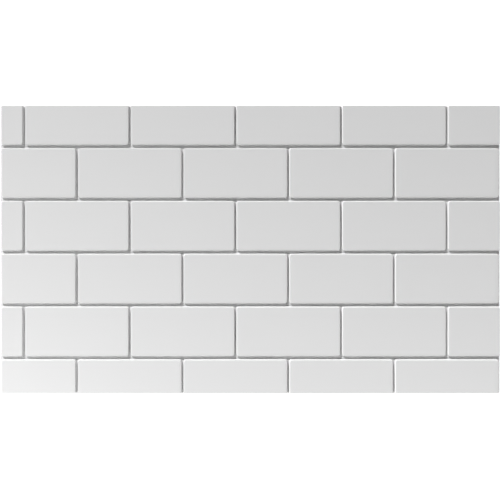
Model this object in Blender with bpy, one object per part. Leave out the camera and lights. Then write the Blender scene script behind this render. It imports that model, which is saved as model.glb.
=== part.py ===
"""A backsplash panel: one moulded sheet with its face in a running bond of subway tiles.

The sheet lies on its flat back with its face up. +X runs along the courses, +Y is up the
wall and +Z comes out of the face. The origin is the middle of the back. Metres throughout.
"""

import math

import bmesh
import bpy

# The whole panel
PANEL_LENGTH = 0.720
PANEL_HEIGHT = 0.414
SHEET_THICKNESS = 0.0026

# The tile pattern, from the centre of one groove to the centre of the next
TILE_PITCH = 0.1524
COURSE_PITCH = 0.0762
BOND_SHARE = 0.5
TOP_COURSE_HEIGHT = 0.0585

# The floors of the grooves: the bed groove runs between two courses, and the head groove
# between two tiles of a course
BED_GROOVE_FLOOR = 0.0031
HEAD_GROOVE_FLOOR = 0.0011

# The tiles' edges
RELIEF = 0.0034
EDGE_LAND = 0.0003
EDGE_RADIUS = 0.0004
FOOT_RADIUS = 0.0003
WALL_ANGLE = math.radians(70)
CORNER_RADIUS = 0.0042

# How finely the arcs are divided
EDGE_STEPS = 4
FOOT_STEPS = 2
CORNER_STEPS = 4

# What the mould makes beyond the saw lines, and how deep a tile is rooted in the sheet
SAW_WASTE = 0.010
ROOT = SHEET_THICKNESS / 2

LEFT = -PANEL_LENGTH / 2
RIGHT = PANEL_LENGTH / 2
BOTTOM = -PANEL_HEIGHT / 2
TOP = PANEL_HEIGHT / 2


def clear_scene():
    for obj in list(bpy.data.objects):
        bpy.data.objects.remove(obj, do_unlink=True)


def edge_profile():
    """(inset, height) from a tile's foot in the groove to the rim of its flat face.

    A hollow fillet leaves the groove's floor, a drafted wall follows it, and a round
    shoulder turns into the face. A shallow relief has room for the two arcs alone.
    """
    both_radii = EDGE_RADIUS + FOOT_RADIUS
    arcs_only = math.acos(max(-1.0, 1 - RELIEF / both_radii))
    angle = min(WALL_ANGLE, arcs_only)
    wall = (RELIEF - both_radii * (1 - math.cos(angle))) / math.sin(angle)
    points = []
    for step in range(FOOT_STEPS + 1):
        turn = angle * step / FOOT_STEPS
        points.append((FOOT_RADIUS * math.sin(turn), FOOT_RADIUS * (1 - math.cos(turn))))
    face_inset = both_radii * math.sin(angle) + wall * math.cos(angle)
    for step in range(EDGE_STEPS + 1):
        turn = angle * (1 - step / EDGE_STEPS)
        inset = face_inset - EDGE_RADIUS * math.sin(turn)
        height = RELIEF - EDGE_RADIUS * (1 - math.cos(turn))
        if math.dist((inset, height), points[-1]) > EDGE_RADIUS / 100:
            points.append((inset, height))
    return points


def rounded_rectangle(x0, x1, y0, y1, radius):
    """The outline's points, anticlockwise, with an arc at each corner."""
    centres = [
        (x1 - radius, y1 - radius),
        (x0 + radius, y1 - radius),
        (x0 + radius, y0 + radius),
        (x1 - radius, y0 + radius),
    ]
    outline = []
    for corner, (cx, cy) in enumerate(centres):
        for step in range(CORNER_STEPS + 1):
            turn = math.pi / 2 * (corner + step / CORNER_STEPS)
            outline.append((cx + radius * math.cos(turn), cy + radius * math.sin(turn)))
    return outline


def add_tile(bm, x0, x1, y0, y1):
    """One raised tile, lofted from its root in the sheet up to its flat face."""
    sections = [(0.0, -ROOT)] + edge_profile()
    loops = []
    for inset, height in sections:
        outline = rounded_rectangle(
            x0 + inset, x1 - inset, y0 + inset, y1 - inset, CORNER_RADIUS - inset
        )
        z = SHEET_THICKNESS + height
        loops.append([bm.verts.new((x, y, z)) for x, y in outline])
    bm.faces.new(reversed(loops[0]))
    for lower, upper in zip(loops, loops[1:]):
        for i, vert in enumerate(lower):
            after = (i + 1) % len(lower)
            bm.faces.new((vert, lower[after], upper[after], upper[i]))
    bm.faces.new(loops[-1])


def courses():
    """(bottom, top, shift) of each course's cell, from the top of the panel down.

    The second course and every other one after it ends the panel with a whole tile. The
    courses between are shifted by the bond, and the saw cuts their last tile.
    """
    found = []
    top = TOP - TOP_COURSE_HEIGHT + COURSE_PITCH
    shifted = True
    while top > BOTTOM:
        found.append((top - COURSE_PITCH, top, TILE_PITCH * BOND_SHARE if shifted else 0.0))
        top -= COURSE_PITCH
        shifted = not shifted
    return found


def tiles_in(bottom, top, shift):
    """The foot outlines of one course's tiles, laid from the right-hand end to the left.

    The tile that meets the left-hand end is made shorter, with its own moulded edge.
    """
    half_bed = BED_GROOVE_FLOOR / 2
    half_head = HEAD_GROOVE_FLOOR / 2
    shortest = 2 * max(CORNER_RADIUS, edge_profile()[-1][0])
    tiles = []
    right = RIGHT - EDGE_LAND + half_head + shift
    while right > LEFT:
        x0 = max(right - TILE_PITCH + half_head, LEFT + EDGE_LAND)
        x1 = right - half_head
        if x1 - x0 > shortest:
            tiles.append((x0, x1, bottom + half_bed, top - half_bed))
        right -= TILE_PITCH
    return tiles


def moulded_tiles():
    """All the tiles as one helper mesh, with those on the saw lines still whole."""
    bm = bmesh.new()
    for course in courses():
        for tile in tiles_in(*course):
            add_tile(bm, *tile)
    mesh = bpy.data.meshes.new("moulded_tiles")
    bm.to_mesh(mesh)
    bm.free()
    return helper(bpy.data.objects.new("moulded_tiles", mesh))


def block(name, x0, x1, y0, y1, z0, z1):
    bm = bmesh.new()
    bmesh.ops.create_cube(bm, size=1.0)
    for vert in bm.verts:
        vert.co.x = x1 if vert.co.x > 0 else x0
        vert.co.y = y1 if vert.co.y > 0 else y0
        vert.co.z = z1 if vert.co.z > 0 else z0
    mesh = bpy.data.meshes.new(name)
    bm.to_mesh(mesh)
    bm.free()
    return bpy.data.objects.new(name, mesh)


def helper(obj):
    """Keeps an object that only shapes another out of the render."""
    bpy.context.scene.collection.objects.link(obj)
    obj.hide_render = True
    obj.display_type = "WIRE"
    return obj


def saw_outline():
    """The block that the finished panel's four edges are sawn to."""
    reach = SHEET_THICKNESS + RELIEF
    return helper(block("saw_outline", LEFT, RIGHT, BOTTOM, TOP, -reach, 2 * reach))


def gloss_white():
    material = bpy.data.materials.new("gloss_white")
    material.use_nodes = True
    shader = material.node_tree.nodes["Principled BSDF"]
    shader.inputs["Base Color"].default_value = (0.80, 0.80, 0.795, 1.0)
    shader.inputs["Roughness"].default_value = 0.16
    shader.inputs["Metallic"].default_value = 0.0
    return material


def backsplash_panel():
    """The moulded sheet with its tiles raised on it, sawn to length and height."""
    panel = block(
        "backsplash_panel",
        LEFT - SAW_WASTE,
        RIGHT + SAW_WASTE,
        BOTTOM - SAW_WASTE,
        TOP + SAW_WASTE,
        0.0,
        SHEET_THICKNESS,
    )
    bpy.context.scene.collection.objects.link(panel)
    for name, operation, tool in (
        ("raise_tiles", "UNION", moulded_tiles()),
        ("saw_to_size", "INTERSECT", saw_outline()),
    ):
        modifier = panel.modifiers.new(name, "BOOLEAN")
        modifier.operation = operation
        modifier.object = tool
    panel.data.materials.append(gloss_white())
    return panel


clear_scene()
backsplash_panel()
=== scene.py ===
"""A gloss-white subway-tile backsplash panel, lying face up on a pale studio floor."""

import math

import bmesh
import bpy
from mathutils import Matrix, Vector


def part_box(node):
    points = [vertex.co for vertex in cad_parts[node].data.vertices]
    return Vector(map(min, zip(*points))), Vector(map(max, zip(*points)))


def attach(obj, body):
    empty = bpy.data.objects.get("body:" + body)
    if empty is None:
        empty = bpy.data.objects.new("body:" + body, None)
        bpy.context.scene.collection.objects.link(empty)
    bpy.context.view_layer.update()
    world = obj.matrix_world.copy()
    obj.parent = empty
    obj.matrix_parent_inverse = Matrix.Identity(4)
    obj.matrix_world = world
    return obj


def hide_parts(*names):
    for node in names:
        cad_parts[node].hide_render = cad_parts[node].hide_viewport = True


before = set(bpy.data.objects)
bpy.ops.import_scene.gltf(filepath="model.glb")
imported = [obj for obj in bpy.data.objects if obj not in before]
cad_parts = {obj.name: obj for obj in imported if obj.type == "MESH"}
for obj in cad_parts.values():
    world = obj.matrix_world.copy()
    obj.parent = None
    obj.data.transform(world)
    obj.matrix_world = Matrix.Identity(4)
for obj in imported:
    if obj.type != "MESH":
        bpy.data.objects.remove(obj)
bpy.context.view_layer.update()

bpy.ops.object.select_all(action="DESELECT")


# The mould's tile.
# Every tile of the panel is one raised cushion of the same gloss-white polymer as the sheet.
# The mould gives it a hollow fillet in the groove, a drafted wall, a round shoulder and
# rounded corners, and its face sinks by less than a tenth of a millimetre as it cools.
lowest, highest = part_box("backsplash_panel")
FACE_HEIGHT = highest.z
RELIEF = 0.0034
GROOVE_HEIGHT = FACE_HEIGHT - RELIEF
TILE_PITCH = 0.1524
COURSE_PITCH = 0.0762
BED_GROOVE_FLOOR = 0.0031
HEAD_GROOVE_FLOOR = 0.0011
CORNER_RADIUS = 0.0042
CORNER_SEGMENTS = 8
FOOT_LAND = 0.0001
FOOT_RADIUS = 0.0003
FOOT_STEPS = 4
WALL_ANGLE = math.radians(70)
SHOULDER_RADIUS = 0.0004
SHOULDER_STEPS = 7
SINK_REACH = 0.030
SINK_SHARE = 0.42
SINK_DEPTH = 0.00007
SINK_STEPS = 7
SAME_POINT = 1e-6


def arc_steps(radius, start, end, steps):
    """The (inward, upward) moves along an arc whose slope turns from start to end."""
    moves = []
    for step in range(steps):
        slope = start + (end - start) * step / steps
        after = start + (end - start) * (step + 1) / steps
        inward = radius * abs(math.sin(after) - math.sin(slope))
        upward = radius * abs(math.cos(after) - math.cos(slope))
        moves.append((inward, upward))
    return moves


fillet = arc_steps(FOOT_RADIUS, 0, WALL_ANGLE, FOOT_STEPS)
shoulder = arc_steps(SHOULDER_RADIUS, WALL_ANGLE, 0, SHOULDER_STEPS)
wall_rise = RELIEF - sum(rise for _, rise in fillet + shoulder)
wall = [(wall_rise / math.tan(WALL_ANGLE), wall_rise)]
tile_edge = [(FOOT_LAND, 0)] + fillet + wall + shoulder


def moulded_cell(name, length, neighbours_joint):
    """One tile in its share of the sheet, which reaches to the middle of the grooves round it.

    Its right-hand joint is at x = 0. Where a joint of the next courses meets it, its two
    long sides have a corner there, so that the cells weld into one skin.
    """
    middle = (-length / 2, 0, GROOVE_HEIGHT)
    bpy.ops.mesh.primitive_plane_add(size=1, location=middle)
    cell = bpy.context.object
    cell.name = name
    cell.scale = (length - HEAD_GROOVE_FLOOR, COURSE_PITCH - BED_GROOVE_FLOOR, 1)
    bpy.ops.object.transform_apply(location=True, rotation=True, scale=True)
    bpy.ops.object.mode_set(mode="EDIT")
    bpy.ops.mesh.select_mode(type="VERT")
    bpy.ops.mesh.select_all(action="SELECT")
    bpy.ops.mesh.bevel(affect="VERTICES", offset=CORNER_RADIUS, segments=CORNER_SEGMENTS)
    bpy.ops.mesh.select_all(action="SELECT")
    for inward, upward in tile_edge:
        bpy.ops.mesh.inset(thickness=inward, depth=upward)
    rim = sum(inward for inward, _ in tile_edge)
    across = length - HEAD_GROOVE_FLOOR - 2 * rim
    up = COURSE_PITCH - BED_GROOVE_FLOOR - 2 * rim
    reach = min(SINK_REACH, SINK_SHARE * across)
    for step in range(SINK_STEPS):
        near, far = step / SINK_STEPS, (step + 1) / SINK_STEPS
        bpy.ops.mesh.extrude_region()
        bpy.ops.transform.translate(value=(0, 0, SINK_DEPTH * ((1 - far) ** 2 - (1 - near) ** 2)))
        bpy.ops.transform.resize(
            value=(
                (across - 2 * reach * far) / (across - 2 * reach * near),
                (up - 2 * reach * far) / (up - 2 * reach * near),
                1,
            ),
            center_override=middle,
        )
    bpy.ops.mesh.select_all(action="DESELECT")
    bpy.ops.mesh.primitive_plane_add(size=1, location=middle)
    bpy.ops.transform.resize(value=(length, COURSE_PITCH, 1), center_override=middle)
    bpy.ops.mesh.delete(type="ONLY_FACE")
    bpy.ops.mesh.select_mode(type="EDGE")
    bpy.ops.mesh.select_non_manifold()
    bpy.ops.mesh.fill(use_beauty=False)
    skin = bmesh.from_edit_mesh(cell.data)
    long_side = COURSE_PITCH / 2 - SAME_POINT
    for edge in skin.edges:
        edge.select_set(all(abs(vert.co.y) > long_side for vert in edge.verts))
    bmesh.update_edit_mesh(cell.data)
    bpy.ops.mesh.bisect(
        plane_co=(neighbours_joint, 0, 0), plane_no=(1, 0, 0), threshold=SAME_POINT
    )
    bpy.ops.object.mode_set(mode="OBJECT")
    return cell


# The panel.
# One rigid sheet, moulded a little oversize with its tiles in a running bond and then sawn
# straight at the top, the bottom and the ends. Its left end, and the right end of every
# other course, fall where the mould closes the pattern, so those tiles keep their own edge.
LEFT, BOTTOM = lowest.x, lowest.y
RIGHT, TOP = highest.x, highest.y
TOP_COURSE_HEIGHT = 0.0585
BOND_SHARE = 0.5
END_LAND = 0.0003
SMOOTH_ANGLE = math.radians(30)

bond = TILE_PITCH * BOND_SHARE
whole_cell = moulded_cell("whole_cell", TILE_PITCH, -bond)
left_side = LEFT + END_LAND - HEAD_GROOVE_FLOOR / 2
end_cells = {}
laid = []
course_top = TOP - TOP_COURSE_HEIGHT + COURSE_PITCH
shift = bond
while course_top > BOTTOM:
    middle = course_top - COURSE_PITCH / 2
    joint = RIGHT - END_LAND + HEAD_GROOVE_FLOOR / 2 + shift
    while joint - TILE_PITCH > left_side:
        laid.append((whole_cell, joint, middle))
        joint -= TILE_PITCH
    if shift not in end_cells:
        end_cells[shift] = moulded_cell(f"end_cell_{len(end_cells)}", joint - left_side, -bond)
    laid.append((end_cells[shift], joint, middle))
    course_top -= COURSE_PITCH
    shift = bond - shift

cells = []
for pattern, joint, middle in laid:
    bpy.ops.object.select_all(action="DESELECT")
    pattern.select_set(True)
    bpy.context.view_layer.objects.active = pattern
    bpy.ops.object.duplicate(linked=False)
    bpy.ops.transform.translate(value=(joint, middle, 0))
    cells.append(bpy.context.object)
for pattern in (whole_cell, *end_cells.values()):
    bpy.data.objects.remove(pattern)
for cell in cells:
    cell.select_set(True)
panel = bpy.context.object
bpy.ops.object.join()
bpy.ops.object.transform_apply(location=True, rotation=True, scale=True)
panel.name = "moulded_panel"

bpy.ops.object.mode_set(mode="EDIT")
bpy.ops.mesh.select_mode(type="EDGE")
bpy.ops.mesh.select_all(action="SELECT")
bpy.ops.mesh.remove_doubles(threshold=SAME_POINT)
for point, outwards in (
    ((LEFT, 0, 0), (-1, 0, 0)),
    ((RIGHT, 0, 0), (1, 0, 0)),
    ((0, BOTTOM, 0), (0, -1, 0)),
    ((0, TOP, 0), (0, 1, 0)),
):
    bpy.ops.mesh.select_all(action="SELECT")
    bpy.ops.mesh.bisect(
        plane_co=point, plane_no=outwards, clear_outer=True, threshold=SAME_POINT
    )
bpy.ops.mesh.select_all(action="DESELECT")
bpy.ops.mesh.select_non_manifold()
bpy.ops.mesh.extrude_region()
bpy.ops.transform.resize(value=(1, 1, 0), center_override=(0, 0, 0))
bpy.ops.mesh.edge_face_add()
bpy.ops.mesh.select_all(action="SELECT")
bpy.ops.mesh.remove_doubles(threshold=SAME_POINT)
bpy.ops.mesh.normals_make_consistent(inside=False)
bpy.ops.object.mode_set(mode="OBJECT")
bpy.ops.object.shade_smooth_by_angle(angle=SMOOTH_ANGLE)


# The gloss face.
# It copies the polish of the mould: a slow waviness that bends reflections, a faint orange
# peel, and grooves that are a little duller because the mould is polished less well there.
GLOSS_WHITE = (0.80, 0.80, 0.80, 1.0)
CLOUDED_WHITE = (0.79, 0.79, 0.79, 1.0)
GLOSS_ROUGHNESS = 0.12
ROUGHNESS_SPREAD = 0.05
GROOVE_ROUGHNESS = 0.22
CLOUD_SIZE = 0.070
WAVE_SIZE = 0.055
WAVE_HEIGHT = 0.000006
PEEL_SIZE = 0.0028
PEEL_HEIGHT = 0.0000012


class Wire:
    """An output of a material's node. Sums and products of wires add their Math nodes."""

    def __init__(self, tree, socket=None):
        self.tree = tree
        self.socket = socket

    def node(self, kind, settings=None, inputs=None, output=0):
        """Adds a node, sets its settings and then its inputs, each a value or a wire."""
        added = self.tree.nodes.new(kind)
        for name, value in (settings or {}).items():
            setattr(added, name, value)
        for name, value in (inputs or {}).items():
            if isinstance(value, Wire):
                self.tree.links.new(value.socket, added.inputs[name])
            else:
                added.inputs[name].default_value = value
        return Wire(self.tree, added.outputs[output])

    def math(self, operation, *terms, clamp=False):
        settings = {"operation": operation, "use_clamp": clamp}
        return self.node("ShaderNodeMath", settings, dict(enumerate(terms)))

    def __add__(self, other):
        return self.math("ADD", self, other)

    __radd__ = __add__

    def __sub__(self, other):
        return self.math("SUBTRACT", self, other)

    def __rsub__(self, other):
        return self.math("SUBTRACT", other, self)

    def __mul__(self, other):
        return self.math("MULTIPLY", self, other)

    __rmul__ = __mul__

    def clamped(self):
        """The same value, kept from 0 to 1."""
        return self.math("ADD", self, 0, clamp=True)

    def part(self, axis):
        """The X, Y or Z of a vector."""
        return self.node("ShaderNodeSeparateXYZ", inputs={"Vector": self}, output=axis)

    def mottle(self, size, detail=2.0):
        """A noise from 0 to 1 at the place that this wire carries, with spots of that size."""
        inputs = {"Vector": self, "Scale": 1 / size, "Detail": detail}
        return self.node("ShaderNodeTexNoise", inputs=inputs)

    def blend(self, low, high):
        """The colour low where this wire is 0, and high where it is 1."""
        inputs = {0: self, 6: low, 7: high}
        return self.node("ShaderNodeMix", {"data_type": "RGBA"}, inputs, output=2)

    def relief(self):
        """The normal of a surface with this height, which is in metres."""
        inputs = {"Strength": 1.0, "Distance": 1.0, "Height": self}
        return self.node("ShaderNodeBump", inputs=inputs)

    def feeds(self, shader, name):
        self.tree.links.new(self.socket, shader.inputs[name])


def polymer(name):
    """A new material with its shader, and a wire with the place on the object in metres."""
    material = bpy.data.materials.new(name)
    material.use_nodes = True
    shader = material.node_tree.nodes["Principled BSDF"]
    place = Wire(material.node_tree).node("ShaderNodeTexCoord", output="Object")
    return material, shader, place


gloss, shader, place = polymer("gloss_white_polymer")
depth = ((FACE_HEIGHT - place.part("Z")) * (1 / RELIEF)).clamped()
cloud = place.mottle(CLOUD_SIZE, detail=3.0)
cloud.blend(GLOSS_WHITE, CLOUDED_WHITE).feeds(shader, "Base Color")
polish = GLOSS_ROUGHNESS + ROUGHNESS_SPREAD * (1 - cloud)
(polish + (GROOVE_ROUGHNESS - GLOSS_ROUGHNESS) * depth).feeds(shader, "Roughness")
surface = WAVE_HEIGHT * place.mottle(WAVE_SIZE, detail=1.0) + PEEL_HEIGHT * place.mottle(PEEL_SIZE)
surface.relief().feeds(shader, "Normal")


# The sawn edges.
# The saw leaves the same white polymer matt, with fine strokes that lean a little from the
# blade's curve. It cuts the sheet all round, and tiles at the top, the bottom and the right.
SAWN_WHITE = (0.79, 0.79, 0.785, 1.0)
SCUFFED_WHITE = (0.72, 0.72, 0.715, 1.0)
SAWN_ROUGHNESS = 0.42
STROKE_SIZE = 0.0005
STROKE_LENGTH = 0.012
STROKE_LEAN = math.radians(12)
STROKE_HEIGHT = 0.000012

sawn, shader, place = polymer("sawn_polymer")
lean = place.node(
    "ShaderNodeMapping",
    inputs={
        "Vector": place,
        "Rotation": (STROKE_LEAN, STROKE_LEAN, 0),
        "Scale": (1, 1, STROKE_SIZE / STROKE_LENGTH),
    },
)
strokes = lean.mottle(STROKE_SIZE, detail=3.0)
strokes.blend(SCUFFED_WHITE, SAWN_WHITE).feeds(shader, "Base Color")
(SAWN_ROUGHNESS + ROUGHNESS_SPREAD * strokes).feeds(shader, "Roughness")
(STROKE_HEIGHT * strokes).relief().feeds(shader, "Normal")


# The back.
# The mould's other half is left unpolished, so the flat back is matt and finely stippled,
# which is also what the panel adhesive keys to.
BACK_WHITE = (0.77, 0.77, 0.765, 1.0)
BACK_GREY = (0.71, 0.71, 0.705, 1.0)
BACK_ROUGHNESS = 0.55
STIPPLE_SIZE = 0.0011
STIPPLE_SHARE = 0.3
STIPPLE_HEIGHT = 0.00003
FLOW_SIZE = 0.090
SAME_NORMAL = 0.01

back, shader, place = polymer("back_polymer")
stipple = place.mottle(STIPPLE_SIZE, detail=3.0)
flow = place.mottle(FLOW_SIZE, detail=4.0)
tone = STIPPLE_SHARE * stipple + (1 - STIPPLE_SHARE) * flow
tone.blend(BACK_WHITE, BACK_GREY).feeds(shader, "Base Color")
(BACK_ROUGHNESS + ROUGHNESS_SPREAD * stipple).feeds(shader, "Roughness")
(STIPPLE_HEIGHT * stipple).relief().feeds(shader, "Normal")

panel.data.materials.clear()
for material in (gloss, sawn, back):
    panel.data.materials.append(material)
bpy.ops.object.mode_set(mode="EDIT")
bpy.ops.mesh.select_mode(type="FACE")
for slot, normal_z in ((1, 0), (2, -1)):
    skin = bmesh.from_edit_mesh(panel.data)
    for face in skin.faces:
        face.select_set(abs(face.normal.z - normal_z) < SAME_NORMAL)
    bmesh.update_edit_mesh(panel.data)
    panel.active_material_index = slot
    bpy.ops.object.material_slot_assign()
bpy.ops.object.mode_set(mode="OBJECT")
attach(panel, "root")
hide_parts("backsplash_panel")


# The studio.
# A white floor that runs past the picture on every side, a key light low beyond the upper
# edge with a weaker one at the left, small fills close by at the left and below, and a
# camera straight above the panel. The gloss mirrors only the left fill and the pale sky.
PANEL_LEFT_PX = -0.2
PANEL_RIGHT_PX = 500.0
PANEL_TOP_PX = 106.0
PANEL_BOTTOM_PX = 393.0
PICTURE_PX = 500
CAMERA_DISTANCE = 1.0
SENSOR_WIDTH = 36
FLOOR_SIZE = 40
FLOOR_DROP = 0.0002
FLOOR_WHITE = (0.9, 0.9, 0.9, 1.0)
FLOOR_ROUGHNESS = 0.8
FLOOR_GLOW = 0.8
LIGHT_WHITE = (1.0, 1.0, 1.0, 1.0)
SUN_ANGLE = math.radians(4)
SUNS = (
    ("key", math.radians(28), math.radians(25), 4.0),
    ("side_light", math.radians(90), math.radians(20), 0.572),
)
FILL_SIZE = 0.5
FILLS = (
    ("corner_fill", (-0.6, -0.7, 0.4), 3.39, False),
    ("left_fill", (-1.1, 0, 0.5), 1.63, True),
    ("lower_fill", (0.4, -0.75, 0.35), 1.62, False),
)
SKY_GLOW = 1.0
SKY_DIM = 0.03
SKY_BAND = 0.5

bpy.ops.mesh.primitive_plane_add(size=FLOOR_SIZE, location=(0, 0, -FLOOR_DROP))
floor = bpy.context.object
floor.name = "studio_floor"
floor_white = bpy.data.materials.new("floor_white")
floor_white.use_nodes = True
floor_shader = floor_white.node_tree.nodes["Principled BSDF"]
floor_shader.inputs["Base Color"].default_value = FLOOR_WHITE
floor_shader.inputs["Roughness"].default_value = FLOOR_ROUGHNESS
floor_shader.inputs["Emission Color"].default_value = LIGHT_WHITE
floor_shader.inputs["Emission Strength"].default_value = FLOOR_GLOW
floor.data.materials.append(floor_white)

for name, azimuth, elevation, energy in SUNS:
    bpy.ops.object.light_add(type="SUN")
    sun = bpy.context.object
    sun.name = name
    sun.data.energy = energy
    sun.data.angle = SUN_ANGLE
    sun.visible_glossy = False
    sun.rotation_euler = (elevation - math.pi / 2, 0, azimuth)

for name, place, watts, mirrored in FILLS:
    bpy.ops.object.light_add(type="AREA", location=place)
    fill = bpy.context.object
    fill.name = name
    fill.data.shape = "DISK"
    fill.data.size = FILL_SIZE
    fill.data.energy = watts
    fill.visible_glossy = mirrored
    x, y, z = place
    fill.rotation_euler = (math.atan2(math.hypot(x, y), z), 0, math.atan2(x, -y))

world = bpy.data.worlds.new("studio")
bpy.context.scene.world = world
world.use_nodes = True
background = world.node_tree.nodes["Background"]
background.inputs["Color"].default_value = LIGHT_WHITE
direction = Wire(world.node_tree).node("ShaderNodeTexCoord", output="Generated")
low = 1 - (direction.part("Z") * (1 / SKY_BAND)).clamped()
(SKY_DIM + (SKY_GLOW - SKY_DIM) * (low * low)).feeds(background, "Strength")

metres_per_px = (RIGHT - LEFT) / (PANEL_RIGHT_PX - PANEL_LEFT_PX)
off_x = (PICTURE_PX / 2 - (PANEL_LEFT_PX + PANEL_RIGHT_PX) / 2) * metres_per_px
off_y = ((PANEL_TOP_PX + PANEL_BOTTOM_PX) / 2 - PICTURE_PX / 2) * metres_per_px
bpy.ops.object.camera_add(
    location=(
        (LEFT + RIGHT) / 2 + off_x,
        (BOTTOM + TOP) / 2 + off_y,
        FACE_HEIGHT + CAMERA_DISTANCE,
    ),
    rotation=(0, 0, 0),
)
camera = bpy.context.object
camera.data.sensor_width = SENSOR_WIDTH
camera.data.lens = SENSOR_WIDTH * CAMERA_DISTANCE / (PICTURE_PX * metres_per_px)
camera.data.dof.use_dof = False
bpy.context.scene.camera = camera
bpy.context.scene.view_settings.view_transform = "Standard"
